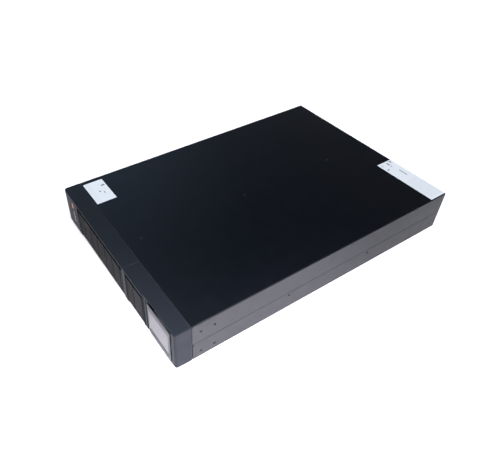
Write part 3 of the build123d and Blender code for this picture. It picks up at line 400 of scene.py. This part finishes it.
def crowned_bar(name, centre, size, material):
    """A raised bar of the badge, with round corners and a crowned face towards -Y."""
    corner, margin, crown = 0.35 * size[0], 0.2 * size[0], 0.2 * size[1]
    form = bmesh.new()
    bmesh.ops.create_cube(form, size=1.0)
    bmesh.ops.scale(form, vec=size, verts=form.verts)
    upright = [edge for edge in form.edges if abs(edge.verts[0].co.y - edge.verts[1].co.y) > size[1] / 2]
    bmesh.ops.bevel(form, geom=upright, offset=corner, segments=5, affect="EDGES", profile=0.5)
    face = min(form.faces, key=lambda item: item.calc_center_median().y)
    bmesh.ops.inset_region(form, faces=[face], thickness=margin, depth=0.0)
    bmesh.ops.translate(form, vec=(0, -crown, 0), verts=face.verts)
    bmesh.ops.translate(form, vec=centre, verts=form.verts)
    new_piece(name, finished_mesh(name, form), material, "battery_cover", "front_badge")


def make_badge():
    """A small orange bar over a column of plain grey dashes, with no lettering."""
    low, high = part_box("front_badge")
    x = (low.x + high.x) / 2
    y = high.y - BADGE_PROUD / 2
    satin = {"grain": 900.0, "depth": 0.00001, "edge_wear_and_highlight": 0.2}
    orange = moulded("badge_orange", BADGE_ORANGE, rough=0.32, mottle=0.08, **satin)
    grey = moulded("badge_grey", BADGE_GREY, rough=0.35, mottle=0.06, **satin)
    crowned_bar("badge_bar_orange", (x, y, high.z - BADGE_BAR_DROP), BADGE_BAR, orange)
    for step in range(BADGE_DASHES):
        z = high.z - BADGE_DASH_DROP - step * BADGE_DASH_PITCH
        crowned_bar(f"badge_dash_{step + 1}", (x, y, z), BADGE_DASH, grey)


def even_turns(count):
    """Evenly spaced angles of one full turn, in radians."""
    return [2 * math.pi * step / count for step in range(count)]


def circle_points(centre, radius, count=48):
    """Points of a ring in the XZ plane."""
    return [centre + Vector((radius * math.cos(a), 0, radius * math.sin(a))) for a in even_turns(count)]


def middle_of_fan(side):
    """The middle of a fan's frame in X and Z, with Y at 0."""
    low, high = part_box(f"fan_frame_{side}")
    return Vector(((low.x + high.x) / 2, 0, (low.z + high.z) / 2))


def add_wire(curve, points, closed):
    """One smooth wire of a curve."""
    spline = curve.splines.new("POLY")
    spline.points.add(len(points) - 1)
    for point, place in zip(spline.points, points):
        point.co = (*place, 1.0)
    spline.use_cyclic_u = closed


def make_guards(material):
    """The fans' finger guards in round wire: four rings on a cross, with an eyelet at each screw."""
    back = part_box("rear_panel")[1].y
    for side in ("left", "right"):
        middle = middle_of_fan(side)
        curve = bpy.data.curves.new(f"guard_wire_{side}", "CURVE")
        curve.dimensions = "3D"
        curve.bevel_depth = GUARD_WIRE_R
        curve.bevel_resolution = 3
        cross = middle + Vector((0, back + GUARD_WIRE_R, 0))
        rings = middle + Vector((0, back + 2.2 * GUARD_WIRE_R, 0))
        for radius in GUARD_RINGS:
            add_wire(curve, circle_points(rings, radius), closed=True)
        for diagonal in (Vector((1, 0, 1)), Vector((1, 0, -1))):
            reach = diagonal * (GUARD_HOLE - EYELET_INNER)
            add_wire(curve, [cross - reach, cross, cross + reach], closed=False)
            for end in (-1, 1):
                hole = cross + diagonal * GUARD_HOLE * end
                add_wire(curve, circle_points(hole, EYELET_R, 20), closed=True)
        new_piece(f"fan_guard_{side}", curve, material, "chassis", "fan_guards")


def blade_grid(form, turn, inner, outer, front, back):
    """One curved fan blade: pitched more steeply at the root, and swept forward at its tip."""
    rows, columns = 9, 8
    root_chord, chord_loss, sweep = math.radians(23.0), math.radians(3.0), math.radians(14.0)
    grid = []
    for i in range(rows):
        t = i / (rows - 1)
        radius = inner + t * (outer - inner)
        half_chord = root_chord - chord_loss * t
        lean = sweep * t * t
        rise = (back - front) * (0.5 - 0.12 * t)
        line = []
        for j in range(columns):
            s = 2 * j / (columns - 1) - 1
            angle = turn + lean + s * half_chord
            y = (front + back) / 2 + s * rise * (1.0 - 0.18 * (1 - s * s))
            line.append(form.verts.new((radius * math.cos(angle), y, radius * math.sin(angle))))
        grid.append(line)
    for i in range(rows - 1):
        for j in range(columns - 1):
            form.faces.new((grid[i][j], grid[i][j + 1], grid[i + 1][j + 1], grid[i + 1][j]))


def make_rotors(material):
    """The fans' hubs and curved blades, in place of the plain flat ones."""
    for side in ("left", "right"):
        node = f"fan_rotor_{side}"
        low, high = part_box(node)
        middle = middle_of_fan(side)
        blades = bmesh.new()
        for turn in even_turns(BLADES):
            blade_grid(blades, turn, BLADE_ROOT_R, BLADE_TIP_R, low.y + BLADE_INSET, high.y - BLADE_INSET)
        bmesh.ops.translate(blades, vec=middle, verts=blades.verts)
        mesh = finished_mesh(f"fan_blades_{side}", blades)
        piece = new_piece(f"fan_blades_{side}", mesh, material, node, node)
        thick = piece.modifiers.new("thickness", "SOLIDIFY")
        thick.thickness = BLADE_THICKNESS
        thick.offset = 0.0
        smooth = piece.modifiers.new("smooth", "SUBSURF")
        smooth.levels = smooth.render_levels = 1
        make_hub(side, middle, low.y, high.y, material)


def make_hub(side, middle, front, back, material):
    """A fan's hub: a turned cup with a rounded front edge and a shallow dished face."""
    length = back - front
    dish = [(0.0, 0.0009), (0.0088, 0.0009), (0.0094, 0.0), (0.0128, 0.0)]  # radius and depth
    rim = [(0.0142, 0.0006), (0.0149, 0.0018), (0.0150, 0.004)]
    rear = [(0.0150, length - 0.0008), (0.0143, length), (0.0, length)]
    form = bmesh.new()
    verts = [form.verts.new((radius, front + depth, 0.0)) for radius, depth in dish + rim + rear]
    edges = [form.edges.new(pair) for pair in zip(verts, verts[1:])]
    bmesh.ops.spin(form, geom=[*verts, *edges], cent=(0, 0, 0), axis=(0, 1, 0), angle=2 * math.pi, steps=48)
    bmesh.ops.remove_doubles(form, verts=form.verts, dist=1e-6)
    bmesh.ops.recalc_face_normals(form, faces=form.faces)
    bmesh.ops.translate(form, vec=middle, verts=form.verts)
    mesh = finished_mesh(f"fan_hub_{side}", form)
    new_piece(f"fan_hub_{side}", mesh, material, f"fan_rotor_{side}", f"fan_rotor_{side}")


# ---------------------------------------------------------------- stage
def make_floor():
    """A wide, pale, plain floor."""
    mesh = bpy.data.meshes.new("floor")
    corners = [(x * FLOOR_HALF, y * FLOOR_HALF, 0) for x, y in ((-1, -1), (1, -1), (1, 1), (-1, 1))]
    mesh.from_pydata(corners, [], [(0, 1, 2, 3)])
    floor = bpy.data.objects.new("floor", mesh)
    floor.location.z = -FLOOR_DROP
    bpy.context.scene.collection.objects.link(floor)
    material, _, shader = new_material("floor_paint")
    shader.inputs["Base Color"].default_value = (0.90, 0.885, 0.93, 1.0)
    shader.inputs["Roughness"].default_value = 0.9
    shader.inputs["Specular IOR Level"].default_value = 0.1
    mesh.materials.append(material)


def make_backdrop():
    """A pale round wall far behind the floor, dimmer towards its top, for the views from low down."""
    form = bmesh.new()
    lower, upper = [], []
    for a in even_turns(BACKDROP_SIDES):
        x, y = BACKDROP_RADIUS * math.cos(a), BACKDROP_RADIUS * math.sin(a)
        lower.append(form.verts.new((x, y, 0)))
        upper.append(form.verts.new((x, y, BACKDROP_HEIGHT)))
    for step in range(BACKDROP_SIDES):
        form.faces.new((lower[step], lower[step - 1], upper[step - 1], upper[step]))
    mesh = finished_mesh("backdrop", form)
    wall = bpy.data.objects.new("backdrop", mesh)
    bpy.context.scene.collection.objects.link(wall)
    material, tree, shader = new_material("backdrop_glow")
    shader.inputs["Base Color"].default_value = (0.06, 0.06, 0.06, 1.0)
    shader.inputs["Emission Strength"].default_value = 0.6
    height = split_axes(tree, object_point(tree))["Z"]
    fade = spread(tree, height, 0.0, 1.0, BACKDROP_FADE_FROM, BACKDROP_HEIGHT)
    tree.links.new(mix(tree, fade, (0.92, 0.94, 0.98), (0.30, 0.31, 0.34)), shader.inputs["Emission Color"])
    mesh.materials.append(material)


def make_world():
    """Dim, even room light."""
    world = bpy.data.worlds.new("room")
    world.use_nodes = True
    background = world.node_tree.nodes["Background"]
    background.inputs["Color"].default_value = (0.72, 0.85, 1.0, 1.0)
    background.inputs["Strength"].default_value = 0.012
    bpy.context.scene.world = world


def add_sun(name, azimuth, elevation, strength, angle, colour=(1.0, 1.0, 1.0)):
    """A soft distant light, from an azimuth counted from +X and an elevation; angle is its width."""
    data = bpy.data.lights.new(name, "SUN")
    data.energy = strength
    data.angle = math.radians(angle)
    data.color = colour
    lamp = bpy.data.objects.new(name, data)
    a = math.radians(azimuth)
    e = math.radians(elevation)
    source = Vector((math.cos(a) * math.cos(e), math.sin(a) * math.cos(e), math.sin(e)))
    lamp.rotation_euler = source.to_track_quat("Z", "Y").to_euler()
    bpy.context.scene.collection.objects.link(lamp)


def add_spot(name, place, target, power, size, radius, colour=(1.0, 1.0, 1.0)):
    """A round lamp with a soft-edged cone, aimed at a point; size is the cone's width."""
    data = bpy.data.lights.new(name, "SPOT")
    data.energy = power
    data.color = colour
    data.spot_size = math.radians(size)
    data.spot_blend = 1.0
    data.shadow_soft_size = radius
    lamp = bpy.data.objects.new(name, data)
    lamp.location = place
    lamp.rotation_euler = (Vector(place) - Vector(target)).to_track_quat("Z", "Y").to_euler()
    bpy.context.scene.collection.objects.link(lamp)


def make_lights():
    """A broad key over the front right corner, two pools on the floor, and two cool low sheens."""
    add_sun("key_sun", azimuth=-28.0, elevation=62.0, strength=4.3, angle=36.0)
    add_spot(
        "floor_pool", (0.66, -0.20, 1.30), (0.62, -0.20, 0.0),
        power=340.0, size=46.0, radius=0.10, colour=(0.88, 0.87, 1.0),
    )
    add_sun("left_sheen", azimuth=172.0, elevation=32.0, strength=0.34, angle=40.0, colour=(0.46, 0.70, 1.0))
    add_spot("corner_pool", (0.26, -0.56, 1.20), (0.22, -0.52, 0.0), power=100.0, size=36.0, radius=0.10)
    add_sun("edge_sheen", azimuth=24.0, elevation=32.0, strength=1.6, angle=14.0, colour=(0.80, 0.88, 1.0))


def make_camera():
    """The camera at the photograph's angle."""
    front_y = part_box("battery_bezel")[0].y
    data = bpy.data.cameras.new("camera")
    data.sensor_width = 36.0
    data.lens = CAMERA_LENS
    data.shift_x = CAMERA_SHIFT
    data.clip_start = 0.01
    data.clip_end = 100.0
    camera = bpy.data.objects.new("camera", data)
    camera.location = CAMERA_FROM_FRONT + Vector((0.0, front_y, 0.0))
    a = math.radians(CAMERA_AZIMUTH)
    e = math.radians(CAMERA_ELEVATION)
    look = Vector((-math.sin(a) * math.cos(e), math.cos(a) * math.cos(e), -math.sin(e)))
    turn = look.to_track_quat("-Z", "Y").to_matrix().to_4x4()
    camera.rotation_euler = (turn @ Matrix.Rotation(math.radians(CAMERA_ROLL), 4, "Z")).to_euler()
    bpy.context.scene.collection.objects.link(camera)
    bpy.context.scene.camera = camera


# ---------------------------------------------------------------- making
make_camera()
make_world()
make_lights()
make_floor()
make_backdrop()
bpy.context.scene.view_settings.view_transform = "Standard"

finishes = make_finishes()
dress_nodes(finishes, make_labels())
make_badge()
make_guards(finishes["guard_wire"])
make_rotors(finishes["fan_plastic"])
